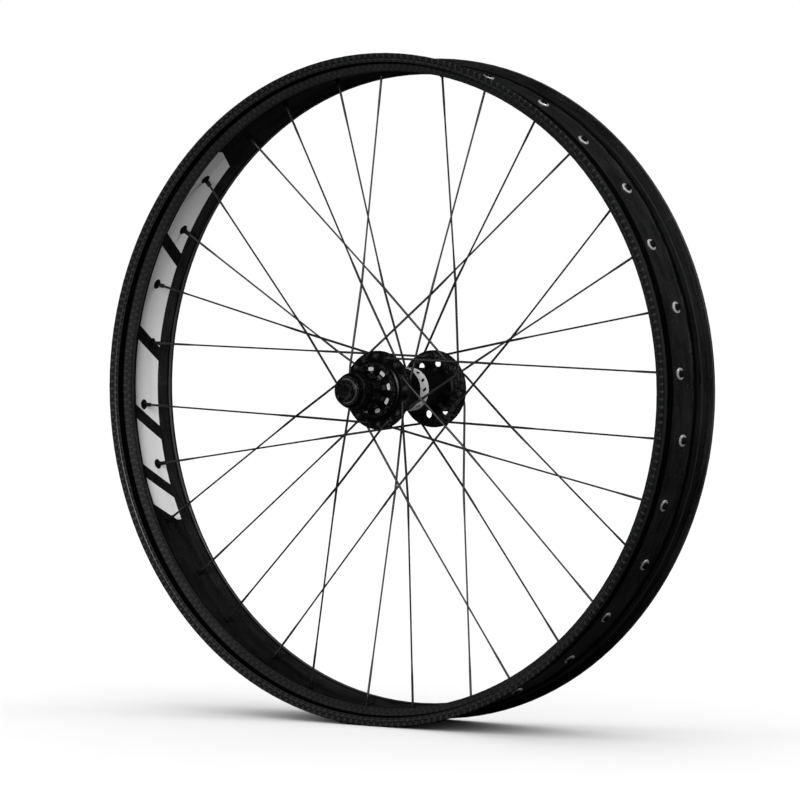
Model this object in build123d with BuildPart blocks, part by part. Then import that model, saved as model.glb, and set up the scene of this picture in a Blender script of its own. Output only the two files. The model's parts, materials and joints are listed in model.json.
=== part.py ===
from build123d import *
import math
import os

# Rear wheel of a fat-tyre bicycle. The axle lies along Y, the wheel turns about +Y
# and rolls towards +X; the driver (sprocket) side is -Y and the brake side is +Y.
# The origin is the wheel's centre. Angles go from +X towards +Z. All sizes are in mm.

# ---- Rim: section points are (radius, distance from the centre plane) ----
BEAD_SEAT_RADIUS = 279.5
RIM_EDGE_RADIUS = 285.0
RIM_HALF_WIDTH = 42.9
BED_RADIUS = 278.4
BED_HALF_WIDTH = 15.4
SHOULDER_RADIUS = 280.2
CHANNEL_FLOOR_RADIUS = 276.2
CHANNEL_HALF_WIDTH = 17.3
RIDGE_RADIUS = 270.5
RIDGE_OFFSET = 27.6
LIP_WIDTH = 2.6
VALVE_HOLE_RADIUS = 3.25
VENT_RADIUS = 1.0

# ---- Spokes: sixteen a side, three-cross ----
SPOKES_PER_SIDE = 16
CROSSINGS = 3
NIPPLE_PHASE = 3.2
NIPPLE_PITCH = 180 / SPOKES_PER_SIDE
NIPPLE_STAGGER = 4.0
FLANGE_STEP = 360 / SPOKES_PER_SIDE
FAMILY_STEP = 2 * FLANGE_STEP
HOLE_LEAN = CROSSINGS * FLANGE_STEP
SPOKE_RADIUS = 1.0
BUTTED_RADIUS = 0.75
THREAD_RADIUS = 1.1
THREAD_LENGTH = 9.0
ELBOW_RADIUS = 1.7
ELBOW_RISE = 1.35
EDGE_REACH = 11.0
EDGE_RISE = 1.1
EDGE_BEND_RADIUS = 8.0
LACE_OFFSET = 1.08
KINK_RADIUS = 60.0
HEAD_RADIUS = 1.85
HEAD_HEIGHT = 1.2

# ---- Nipples and washers ----
SEAT_RISE = 1.9
SEAT_RADIUS = BED_RADIUS + SEAT_RISE
NIPPLE_HEAD_RADIUS = 3.0
NIPPLE_BARREL_RADIUS = 1.95
NIPPLE_LENGTH = 12.0
NIPPLE_FLATS = 3.3
NIPPLE_FLATS_LENGTH = 5.0
WASHER_RADIUS = 5.0
WASHER_THICKNESS = 1.15
RIM_HOLE_RADIUS = 2.4
RIM_HOLE_DEPTH = 7.0
COUNTERBORE_RADIUS = 2.75
COUNTERBORE_DEPTH = SEAT_RISE + 0.2

# ---- Hub ----
FLANGE_THICKNESS = 3.2
FLANGE_RADIUS = 33.5
HOLE_CIRCLE_RADIUS = 29.0
SPOKE_HOLE_RADIUS = 1.3
DRIVE_FLANGE_Y = -34.0
BRAKE_FLANGE_Y = 50.4
SHELL_RADIUS = 18.5
WINDOW_RADIUS = 3.75
WINDOW_CIRCLE_RADIUS = 22.3
WINDOW_PHASE = 33.0
DISC_SHOULDER_Y = 69.7
DISC_SHOULDER_RADIUS = 20.0
DISC_SPLINE_RADIUS = 17.4
DISC_SPLINE_END = 74.0
DISC_SPLINE_GROOVES = 36
DISC_SPLINE_GROOVE = (0.5, 1.4)
CAP_FACE_Y = 85.0
AXLE_BORE_RADIUS = 6.05
AXLE_RADIUS = 7.5
AXLE_SEAT_RADIUS = 8.5

# ---- Ratchet ----
RATCHET_TEETH = 36
TOOTH_PITCH = 360 / RATCHET_TEETH
TOOTH_PHASE = -2.0
TOOTH_TIP_RADIUS = 16.8
TOOTH_ROOT_RADIUS = 18.2
RATCHET_SEAT_RADIUS = 20.4
PAWL_COUNT = 3
PAWL_PIVOT_RADIUS = 14.7
PAWL_PIVOT_ANGLE = 26.0
PAWL_PIN_RADIUS = 1.4
PAWL_INNER_Y = -29.6
PAWL_WIDTH = 6.8

FIT_GAP = 0.02
MIN_BASE = (Align.CENTER, Align.CENTER, Align.MIN)


def polar(radius, angle, y=0.0):
    """Point at a radius and an angle round the axle, at a distance along it."""
    turn = math.radians(angle)
    return Vector(radius * math.cos(turn), y, radius * math.sin(turn))


def flat_polar(radius, angle):
    """The same point in the coordinates of a sketch on Plane.XZ."""
    turn = math.radians(angle)
    return (radius * math.cos(turn), radius * math.sin(turn))


def turned_to(angle):
    """Location that carries a shape from angle 0 to this angle round the axle."""
    return Location((0, 0, 0), (0, -angle, 0))


def turn(outline):
    """Revolve a closed outline of (radius, y) points round the axle."""
    with BuildSketch(Plane.XY) as profile:
        with BuildLine():
            Polyline(*outline, close=True)
        make_face()
    revolve(profile.sketch, axis=Axis.Y)


def ring(inner, outer, y_low, y_high, mode=Mode.ADD):
    """A plain ring round the axle between two radii and two axial positions."""
    with BuildSketch(Plane.XY) as profile:
        with Locations(((inner + outer) / 2, (y_low + y_high) / 2)):
            Rectangle(outer - inner, y_high - y_low)
    revolve(profile.sketch, axis=Axis.Y, mode=mode)


def save(builder, name):
    """Label a finished piece and write its STEP file."""
    builder.part.label = name
    export_step(builder.part, f"parts/{name}.step")


os.makedirs("parts", exist_ok=True)


# ======================================================================
# Lacing: where every spoke starts, bends, crosses and ends
# ======================================================================
class SpokeFamily:
    """Eight identical spokes, 45 degrees apart, on one side of the wheel.

    side is -1 for the drive flange and +1 for the brake flange. first_nipple is the
    angle of the first nipple. lean is +1 or -1: the hub hole is ahead of or behind the
    nipple by three hole steps. outward is +1 when the elbow is on the outer flange face.
    """

    def __init__(self, side, first_nipple, lean, outward):
        self.flange_y = DRIVE_FLANGE_Y if side < 0 else BRAKE_FLANGE_Y
        self.first_nipple = first_nipple
        self.elbow_sign = side * outward
        hole_angle = first_nipple + lean * HOLE_LEAN
        nipple_y = side * NIPPLE_STAGGER
        self.seat = polar(SEAT_RADIUS, first_nipple, nipple_y)

        # The last crossing is where this spoke's line meets its mirror image.
        hole_to_mirror = (CROSSINGS - 0.5) * FLANGE_STEP
        nipple_to_mirror = HOLE_LEAN - hole_to_mirror
        hole_reach = HOLE_CIRCLE_RADIUS * math.sin(math.radians(hole_to_mirror))
        nipple_reach = SEAT_RADIUS * math.sin(math.radians(nipple_to_mirror))
        along = hole_reach / (hole_reach + nipple_reach)
        hole = polar(HOLE_CIRCLE_RADIUS, hole_angle, self.flange_y)
        crossing = hole + (self.seat - hole) * along
        self.crossing = crossing + Vector(0, -self.elbow_sign * LACE_OFFSET, 0)

        outer_face = FLANGE_THICKNESS / 2
        self.head = hole + Vector(0, -self.elbow_sign * (outer_face + FIT_GAP), 0)
        self.corner = hole + Vector(0, self.elbow_sign * (outer_face + ELBOW_RISE), 0)
        self.towards_hub = (self.crossing - self.seat).normalized()

        # A spoke on the outer face lies flat on it and bends again over the edge.
        self.bends = [self.corner, self.crossing]
        self.bend_radii = [ELBOW_RADIUS, KINK_RADIUS]
        if outward > 0:
            in_plane = Vector(self.crossing.X - hole.X, 0, self.crossing.Z - hole.Z).normalized()
            edge_rise = Vector(0, self.elbow_sign * (outer_face + EDGE_RISE), 0)
            self.bends.insert(1, hole + in_plane * EDGE_REACH + edge_rise)
            self.bend_radii.insert(1, EDGE_BEND_RADIUS)

    def turns(self):
        """The locations of the eight spokes, relative to the first."""
        return [turned_to(i * FAMILY_STEP) for i in range(SPOKES_PER_SIDE // 2)]

    def nipple_places(self):
        """Planes at the eight nipple seats, with z pointing down the spoke."""
        first = Plane(self.seat, z_dir=self.towards_hub).location
        return [move * first for move in self.turns()]

    def washer_places(self):
        """Planes on the rim bed under the eight nipples, with z pointing outwards."""
        outwards = polar(1, self.first_nipple)
        base = polar(BED_RADIUS + FIT_GAP, self.first_nipple, self.seat.Y)
        first = Plane(base, z_dir=outwards).location
        return [move * first for move in self.turns()]


drive_elbows_out = SpokeFamily(-1, NIPPLE_PHASE, +1, +1)
brake_elbows_out = SpokeFamily(+1, NIPPLE_PHASE + NIPPLE_PITCH, +1, +1)
drive_elbows_in = SpokeFamily(-1, NIPPLE_PHASE + 2 * NIPPLE_PITCH, -1, -1)
brake_elbows_in = SpokeFamily(+1, NIPPLE_PHASE + 3 * NIPPLE_PITCH, -1, -1)
FAMILIES = {
    "drive_spokes_elbows_out": drive_elbows_out,
    "drive_spokes_elbows_in": drive_elbows_in,
    "brake_spokes_elbows_out": brake_elbows_out,
    "brake_spokes_elbows_in": brake_elbows_in,
}
NIPPLE_PLACES = []
WASHER_PLACES = []
for family in FAMILIES.values():
    NIPPLE_PLACES += family.nipple_places()
    WASHER_PLACES += family.washer_places()

# The valve sits where the spokes on either side of it lean apart.
VALVE_ANGLE = NIPPLE_PHASE - 8.5 * NIPPLE_PITCH


# ======================================================================
# Rim: one carbon moulding, a single-wall channel between two hollow side beams
# ======================================================================
lip_start = (RIM_EDGE_RADIUS - 1.0, RIM_HALF_WIDTH - LIP_WIDTH)
lip_top = (RIM_EDGE_RADIUS, RIM_HALF_WIDTH - LIP_WIDTH / 2)
lip_end = (RIM_EDGE_RADIUS - 1.0, RIM_HALF_WIDTH)
sidewall_foot = (277.8, 39.4)
ledge_inner = (276.4, 32.8)
ridge_outer = (271.9, 30.0)
ridge_top = (RIDGE_RADIUS, RIDGE_OFFSET)
ridge_inner = (271.6, 25.2)
channel_corner = (CHANNEL_FLOOR_RADIUS, CHANNEL_HALF_WIDTH)
CHAMBER_OUTLINE = [
    (277.2, 19.6),
    (278.2, 20.4),
    (278.2, 27.0),
    (277.5, 31.0),
    (276.3, 30.9),
    (272.7, 28.7),
    (272.3, 27.5),
    (273.2, 26.1),
]
CHAMBER_MIDDLE = 24.0

with BuildPart() as rim:
    with BuildSketch(Plane.XY) as rim_section:
        with BuildLine():
            Polyline(
                (CHANNEL_FLOOR_RADIUS, 0),
                (BED_RADIUS, 0),
                (BED_RADIUS, BED_HALF_WIDTH),
                (SHOULDER_RADIUS, BED_HALF_WIDTH + 2.5),
                (SHOULDER_RADIUS, 27.0),
                (BEAD_SEAT_RADIUS, 32.0),
                (BEAD_SEAT_RADIUS, lip_start[1]),
                lip_start,
            )
            ThreePointArc(lip_start, lip_top, lip_end)
            ThreePointArc(lip_end, (281.3, 41.9), sidewall_foot)
            Polyline(sidewall_foot, ledge_inner, ridge_outer)
            ThreePointArc(ridge_outer, ridge_top, ridge_inner)
            Polyline(ridge_inner, channel_corner, (CHANNEL_FLOOR_RADIUS, 0))
        make_face()
        corners = [v for v in rim_section.vertices() if v.Y > 1 and v.X < 283]
        soft_corners = [v for v in corners if 15 < v.Y < 36 or v.X < 279]
        fillet(soft_corners, radius=0.9)
        with BuildSketch(Plane.XY, mode=Mode.SUBTRACT) as chamber_section:
            with BuildLine():
                Polyline(*CHAMBER_OUTLINE, close=True)
            make_face()
            fillet(chamber_section.vertices(), radius=0.5)
        mirror(about=Plane.XZ)
    revolve(axis=Axis.Y)
    # Nipple holes follow the spokes and are counterbored for the round nipple heads.
    with Locations(*NIPPLE_PLACES):
        Cylinder(RIM_HOLE_RADIUS, RIM_HOLE_DEPTH, align=MIN_BASE, mode=Mode.SUBTRACT)
        Cylinder(COUNTERBORE_RADIUS, COUNTERBORE_DEPTH, align=MIN_BASE, mode=Mode.SUBTRACT)
    # Valve hole, and a small vent from the tyre side into each hollow beam.
    valve_plane = Plane(polar(270.0, VALVE_ANGLE), z_dir=polar(1, VALVE_ANGLE))
    with Locations(valve_plane.location):
        Cylinder(VALVE_HOLE_RADIUS, 15.0, align=MIN_BASE, mode=Mode.SUBTRACT)
    for side in (-1, 1):
        vent_foot = polar(277.0, VALVE_ANGLE, side * CHAMBER_MIDDLE)
        with Locations(Plane(vent_foot, z_dir=polar(1, VALVE_ANGLE)).location):
            Cylinder(VENT_RADIUS, 5.0, align=MIN_BASE, mode=Mode.SUBTRACT)
save(rim, "rim")


# ======================================================================
# Rim graphics: thin generic slanted bars on the channel floor
# ======================================================================
GRAPHIC_THICKNESS = 0.12
GRAPHIC_HALF_WIDTH = 15.8
GRAPHIC_CLEARANCE_RADIUS = 4.5
GRAPHIC_START = 131.5
BAR_SPANS = [20.0, 16.0, 12.5, 9.0, 5.5]
BAR_GAP = 2.2
BAR_SLANT = 32.0
GRAPHIC_GROUPS = 2

graphic_radius = CHANNEL_FLOOR_RADIUS - FIT_GAP - GRAPHIC_THICKNESS / 2
graphic_span = sum(BAR_SPANS) + BAR_GAP * len(BAR_SPANS)
bar_ends = [sum(BAR_SPANS[:i]) + i * BAR_GAP for i in range(len(BAR_SPANS) + 1)]

with BuildPart() as rim_graphics:
    with BuildSketch(Plane.XY):
        with Locations((graphic_radius, 0)):
            Rectangle(GRAPHIC_THICKNESS, 2 * GRAPHIC_HALF_WIDTH)
    revolve(axis=Axis.Y, revolution_arc=-graphic_span)
    # Slanted gaps between the bars; the first and last also slant the two ends.
    gap_length = graphic_radius * math.radians(BAR_GAP)
    slanted = Pos(graphic_radius, 0, 0) * Rot(BAR_SLANT, 0, 0)
    gap_places = [turned_to(end) * slanted for end in bar_ends]
    with Locations(*gap_places):
        Box(4, 6 * GRAPHIC_HALF_WIDTH, gap_length, mode=Mode.SUBTRACT)
    graphic_bars = rim_graphics.solids().filter_by(lambda bar: bar.volume > 20)

with BuildPart() as rim_graphics:
    group_step = 360 / GRAPHIC_GROUPS
    with Locations(*[turned_to(GRAPHIC_START + i * group_step) for i in range(GRAPHIC_GROUPS)]):
        add(graphic_bars)
    with Locations(*NIPPLE_PLACES):
        Cylinder(GRAPHIC_CLEARANCE_RADIUS, 20.0, mode=Mode.SUBTRACT)
save(rim_graphics, "rim_graphics")


# ======================================================================
# Nipples and their seat washers
# ======================================================================
NIPPLE_CROWN_HEIGHT = 1.5
NIPPLE_BORE_RADIUS = THREAD_RADIUS + 0.04
CROWN_SLOT_WIDTH = 1.0
CROWN_SLOT_DEPTH = 0.9

with BuildPart() as nipple:
    Sphere(NIPPLE_HEAD_RADIUS)
    with Locations((0, 0, -NIPPLE_CROWN_HEIGHT)):
        Box(10, 10, 10, align=(Align.CENTER, Align.CENTER, Align.MAX), mode=Mode.SUBTRACT)
    fillet(nipple.edges().sort_by(Axis.Z)[0], radius=0.8)
    Cylinder(NIPPLE_BARREL_RADIUS, NIPPLE_LENGTH, align=MIN_BASE)
    # Spanner flats at the hub end.
    with BuildSketch(Plane.XY.offset(NIPPLE_LENGTH - NIPPLE_FLATS_LENGTH)):
        Circle(NIPPLE_BARREL_RADIUS + 1)
        Rectangle(NIPPLE_FLATS, NIPPLE_FLATS, mode=Mode.SUBTRACT)
    extrude(amount=NIPPLE_FLATS_LENGTH + 1, mode=Mode.SUBTRACT)
    # Blind thread bore from the hub end, and the screwdriver slot in the crown.
    with Locations((0, 0, -0.2)):
        Cylinder(NIPPLE_BORE_RADIUS, NIPPLE_LENGTH + 1, align=MIN_BASE, mode=Mode.SUBTRACT)
    with Locations((0, 0, -NIPPLE_CROWN_HEIGHT)):
        slot_size = (2.2 * NIPPLE_HEAD_RADIUS, CROWN_SLOT_WIDTH, 2 * CROWN_SLOT_DEPTH)
        Box(*slot_size, mode=Mode.SUBTRACT)

with BuildPart() as spoke_nipples:
    with Locations(*NIPPLE_PLACES):
        add(nipple.part)
save(spoke_nipples, "spoke_nipples")

with BuildPart() as washer:
    Cylinder(WASHER_RADIUS, WASHER_THICKNESS, align=MIN_BASE)
    chamfer(washer.edges().group_by(Axis.Z)[-1], length=0.3)
    Cylinder(RIM_HOLE_RADIUS + 0.05, 10, mode=Mode.SUBTRACT)
    with Locations((0, 0, SEAT_RISE - FIT_GAP)):
        Sphere(NIPPLE_HEAD_RADIUS + 0.03, mode=Mode.SUBTRACT)

with BuildPart() as nipple_washers:
    with Locations(*WASHER_PLACES):
        add(washer.part)
save(nipple_washers, "nipple_washers")


# ======================================================================
# Spokes: a headed J-bend, laced under its partner at the last crossing, double butted
# ======================================================================
STRAIGHT_AFTER_KINK = 14.0
TAPER_LENGTH = 14.0
END_LENGTH = 34.0
THREAD_STOP = 0.8


with BuildPart() as spoke_head:
    Cylinder(HEAD_RADIUS, HEAD_HEIGHT, align=MIN_BASE)
    fillet(spoke_head.edges().sort_by(Axis.Z)[-1], radius=0.7)


def spoke_shape(family):
    """The first spoke of a family, as one solid."""
    run = family.seat - family.crossing
    direction = run.normalized()
    sweep_end = family.crossing + direction * STRAIGHT_AFTER_KINK
    end_gap = THREAD_STOP + THREAD_LENGTH
    butted = run.length - STRAIGHT_AFTER_KINK - 2 * TAPER_LENGTH - END_LENGTH
    with BuildPart() as spoke:
        with BuildLine() as path:
            FilletPolyline(family.head, *family.bends, sweep_end, radius=family.bend_radii)
        start = Plane(family.head, z_dir=path.line % 0)
        with BuildSketch(start):
            Circle(SPOKE_RADIUS)
        sweep()
        # Head, on the flange face away from the elbow.
        with Locations(Plane(family.head, z_dir=-(path.line % 0)).location):
            add(spoke_head.part)
        # Double-butted run: taper down, thin middle, taper up, plain end, thread.
        spots = [
            (0, "cone_down"),
            (TAPER_LENGTH, "thin"),
            (TAPER_LENGTH + butted, "cone_up"),
            (2 * TAPER_LENGTH + butted, "plain"),
            (run.length - STRAIGHT_AFTER_KINK - end_gap, "thread"),
        ]
        for distance, piece in spots:
            with Locations(Plane(sweep_end + direction * distance, z_dir=direction).location):
                if piece == "cone_down":
                    Cone(SPOKE_RADIUS, BUTTED_RADIUS, TAPER_LENGTH, align=MIN_BASE)
                elif piece == "thin":
                    Cylinder(BUTTED_RADIUS, butted, align=MIN_BASE)
                elif piece == "cone_up":
                    Cone(BUTTED_RADIUS, SPOKE_RADIUS, TAPER_LENGTH, align=MIN_BASE)
                elif piece == "plain":
                    Cylinder(SPOKE_RADIUS, END_LENGTH - end_gap, align=MIN_BASE)
                else:
                    Cylinder(THREAD_RADIUS, THREAD_LENGTH, align=MIN_BASE)
    return spoke.part


for family_name, family in FAMILIES.items():
    first_spoke = spoke_shape(family)
    with BuildPart() as spokes:
        with Locations(*family.turns()):
            add(first_spoke)
    save(spokes, family_name)


# ======================================================================
# Hub shell: one turned body with both flanges and the splined mount of the brake disc
# ======================================================================
HALF_FLANGE = FLANGE_THICKNESS / 2
FLANGE_EDGE_RELIEF = 0.4
TAPER_START_RADIUS = 31.0
DRIVE_OUTER_FACE = DRIVE_FLANGE_Y - HALF_FLANGE
DRIVE_INNER_FACE = DRIVE_FLANGE_Y + HALF_FLANGE
BRAKE_INNER_FACE = BRAKE_FLANGE_Y - HALF_FLANGE
BRAKE_OUTER_FACE = BRAKE_FLANGE_Y + HALF_FLANGE
SHELL_DRIVE_END = -42.6
BEARING_SEAT_RADIUS = 15.0
BEARING_LIP_RADIUS = 13.4
DRIVE_SEAT = (-27.0, -19.0)
BRAKE_SEAT = (62.0, 69.4)
CAVITY_RADIUS = 15.8
DISC_BARREL_RADIUS = 19.0
DISC_SHOULDER_START = 66.5
LOCK_THREAD_RADIUS = 15.6
FLANGE_WINDOWS = 8

with BuildPart() as hub_shell:
    turn(
        [
            # Drive end: stepped bell, then the drive flange.
            (RATCHET_SEAT_RADIUS, SHELL_DRIVE_END),
            (22.6, SHELL_DRIVE_END),
            (23.6, SHELL_DRIVE_END + 1.0),
            (23.6, -39.6),
            (25.0, -38.8),
            (25.0, -36.9),
            (26.3, DRIVE_OUTER_FACE),
            (TAPER_START_RADIUS, DRIVE_OUTER_FACE),
            (FLANGE_RADIUS - 0.6, DRIVE_OUTER_FACE + FLANGE_EDGE_RELIEF - 0.1),
            (FLANGE_RADIUS, DRIVE_OUTER_FACE + FLANGE_EDGE_RELIEF + 0.5),
            (FLANGE_RADIUS, DRIVE_INNER_FACE - FLANGE_EDGE_RELIEF - 0.5),
            (FLANGE_RADIUS - 0.6, DRIVE_INNER_FACE - FLANGE_EDGE_RELIEF + 0.1),
            (TAPER_START_RADIUS, DRIVE_INNER_FACE),
            (25.6, DRIVE_INNER_FACE),
            (24.0, -30.8),
            (23.2, -27.5),
            (21.2, -23.0),
            (19.2, -19.5),
            (SHELL_RADIUS, -16.5),
            # Centre tube, then the brake flange.
            (SHELL_RADIUS, 45.5),
            (18.9, 47.2),
            (20.0, 48.3),
            (21.6, BRAKE_INNER_FACE),
            (TAPER_START_RADIUS, BRAKE_INNER_FACE),
            (FLANGE_RADIUS - 0.6, BRAKE_INNER_FACE + FLANGE_EDGE_RELIEF - 0.1),
            (FLANGE_RADIUS, BRAKE_INNER_FACE + FLANGE_EDGE_RELIEF + 0.5),
            (FLANGE_RADIUS, BRAKE_OUTER_FACE - FLANGE_EDGE_RELIEF - 0.5),
            (FLANGE_RADIUS - 0.6, BRAKE_OUTER_FACE - FLANGE_EDGE_RELIEF + 0.1),
            (TAPER_START_RADIUS, BRAKE_OUTER_FACE),
            (20.6, BRAKE_OUTER_FACE),
            (DISC_BARREL_RADIUS, 53.6),
            # Shoulder that stops the brake disc, then the barrel that its splines are cut in.
            (DISC_BARREL_RADIUS, DISC_SHOULDER_START),
            (DISC_SHOULDER_RADIUS, DISC_SHOULDER_START + 0.6),
            (DISC_SHOULDER_RADIUS, DISC_SHOULDER_Y),
            (DISC_SPLINE_RADIUS, DISC_SHOULDER_Y),
            (DISC_SPLINE_RADIUS, DISC_SPLINE_END - 0.4),
            (DISC_SPLINE_RADIUS - 0.4, DISC_SPLINE_END),
            # The disc's lock ring screws into this bore, outboard of the bearing.
            (LOCK_THREAD_RADIUS, DISC_SPLINE_END),
            (LOCK_THREAD_RADIUS, BRAKE_SEAT[1]),
            (BEARING_SEAT_RADIUS, BRAKE_SEAT[1]),
            # Inside, from the brake bearing seat back to the ratchet seat.
            (BEARING_SEAT_RADIUS, BRAKE_SEAT[0]),
            (BEARING_LIP_RADIUS, BRAKE_SEAT[0]),
            (BEARING_LIP_RADIUS, 59.4),
            (CAVITY_RADIUS, 57.0),
            (CAVITY_RADIUS, -14.0),
            (BEARING_LIP_RADIUS, -16.4),
            (BEARING_LIP_RADIUS, DRIVE_SEAT[1]),
            (BEARING_SEAT_RADIUS, DRIVE_SEAT[1]),
            (BEARING_SEAT_RADIUS, DRIVE_SEAT[0]),
            (RATCHET_SEAT_RADIUS, DRIVE_SEAT[0]),
        ]
    )
    # Shallow splines that carry the brake disc.
    disc_spline_middle = (DISC_SHOULDER_Y + DISC_SPLINE_END) / 2
    disc_spline_places = [
        turned_to(i * 360 / DISC_SPLINE_GROOVES) * Pos(DISC_SPLINE_RADIUS, disc_spline_middle, 0)
        for i in range(DISC_SPLINE_GROOVES)
    ]
    disc_spline_length = DISC_SPLINE_END - DISC_SHOULDER_Y
    with Locations(*disc_spline_places):
        Box(
            2 * DISC_SPLINE_GROOVE[0],
            disc_spline_length,
            DISC_SPLINE_GROOVE[1],
            mode=Mode.SUBTRACT,
        )
    # Spoke holes, sixteen in each flange.
    hole_planes = []
    for family in FAMILIES.values():
        hole_centre = (family.head.X, family.flange_y, family.head.Z)
        first_hole = Plane(hole_centre, z_dir=(0, 1, 0)).location
        hole_planes += [move * first_hole for move in family.turns()]
    with Locations(*hole_planes):
        Cylinder(SPOKE_HOLE_RADIUS, 3 * FLANGE_THICKNESS, mode=Mode.SUBTRACT)
    # Round windows through the brake flange.
    window_centres = [
        polar(WINDOW_CIRCLE_RADIUS, WINDOW_PHASE + i * 360 / FLANGE_WINDOWS, BRAKE_FLANGE_Y)
        for i in range(FLANGE_WINDOWS)
    ]
    with Locations(*[Plane(centre, z_dir=(0, 1, 0)).location for centre in window_centres]):
        Cylinder(WINDOW_RADIUS, 3 * FLANGE_THICKNESS, mode=Mode.SUBTRACT)
save(hub_shell, "hub_shell")


# ======================================================================
# Printed band round the shell, with a row of generic lozenges left out of it
# ======================================================================
BAND_RANGE = (2.8, 15.4)
BAND_THICKNESS = 0.1
LOZENGE_COUNT = 14
LOZENGE_SIZE = (5.4, 2.4)

with BuildPart() as hub_band:
    band_inner = SHELL_RADIUS + FIT_GAP
    ring(band_inner, band_inner + BAND_THICKNESS, *BAND_RANGE)
    band_middle = sum(BAND_RANGE) / 2
    lozenge_places = [
        turned_to(i * 360 / LOZENGE_COUNT) * Pos(SHELL_RADIUS, band_middle, 0) * Rot(25, 0, 0)
        for i in range(LOZENGE_COUNT)
    ]
    with Locations(*lozenge_places):
        Box(4, LOZENGE_SIZE[0], LOZENGE_SIZE[1], mode=Mode.SUBTRACT)
save(hub_band, "hub_band")


# ======================================================================
# Ratchet ring, fixed in the shell: one-way teeth that the pawls push on
# ======================================================================
RATCHET_RANGE = (-38.2, -27.1)

with BuildPart() as ratchet_ring:
    with BuildSketch(Plane.XZ.offset(-RATCHET_RANGE[1])):
        Circle(RATCHET_SEAT_RADIUS - FIT_GAP)
        with BuildLine():
            tooth_points = []
            for i in range(RATCHET_TEETH):
                steep_face = TOOTH_PHASE + i * TOOTH_PITCH
                tooth_points.append(flat_polar(TOOTH_TIP_RADIUS, steep_face))
                tooth_points.append(flat_polar(TOOTH_ROOT_RADIUS, steep_face))
            Polyline(*tooth_points, close=True)
        make_face(mode=Mode.SUBTRACT)
    extrude(amount=RATCHET_RANGE[1] - RATCHET_RANGE[0])
save(ratchet_ring, "ratchet_ring")


# ======================================================================
# Driver: the splined body that the sprockets slide onto
# ======================================================================
DRIVER_INBOARD_END = -27.6
PAWL_BODY_RADIUS = 16.4
SEAL_JOURNAL_RADIUS = 16.8
SEAL_RANGE = (-41.6, -38.9)
FLANGE_FACE = -44.5
DRIVER_FLANGE_RADIUS = 22.3
NECK_RADIUS = 15.9
SPLINE_RADIUS = 17.7
SPLINE_RANGE = (-64.0, -54.0)
SPLINE_GROOVES = 12
SPLINE_GROOVE = (1.5, 4.2)
THREAD_BODY_RADIUS = 15.0
THREAD_GROOVES = [-65.6, -67.3, -69.0, -70.7, -72.4]
THREAD_GROOVE_DEPTH = 0.6
THREAD_GROOVE_HALF = 0.4
TAIL_RADIUS = 12.5
TAIL_START = -75.0
TAIL_GROOVES = [-76.6, -78.6]
TAIL_GROOVE_DEPTH = 0.5
TAIL_GROOVE_HALF = 0.45
DRIVER_OUTBOARD_END = -80.6
INNER_SEAT_RADIUS = 12.0
INNER_SEAT_STOP = -50.02
DRIVER_BORE_RADIUS = 12.2
OUTER_SEAT_RADIUS = 10.5
OUTER_SEAT_STOP = -76.38
CIRCLIP_RANGE = (-44.9, -43.9)
CIRCLIP_GROOVE_RADIUS = 12.8
POCKET_COUNT = 9
POCKET_SIZE = (3.5, 5.8)
POCKET_CIRCLE_RADIUS = 18.2
POCKET_DEPTH = 0.9
POCKET_PHASE = 10.5
PAWL_POCKET_FLOOR = 13.25
PAWL_POCKET_END = -34.0
PAWL_POCKET_GAP = 0.3
pawl_pivots = [PAWL_PIVOT_ANGLE + i * 360 / PAWL_COUNT for i in range(PAWL_COUNT)]

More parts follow.
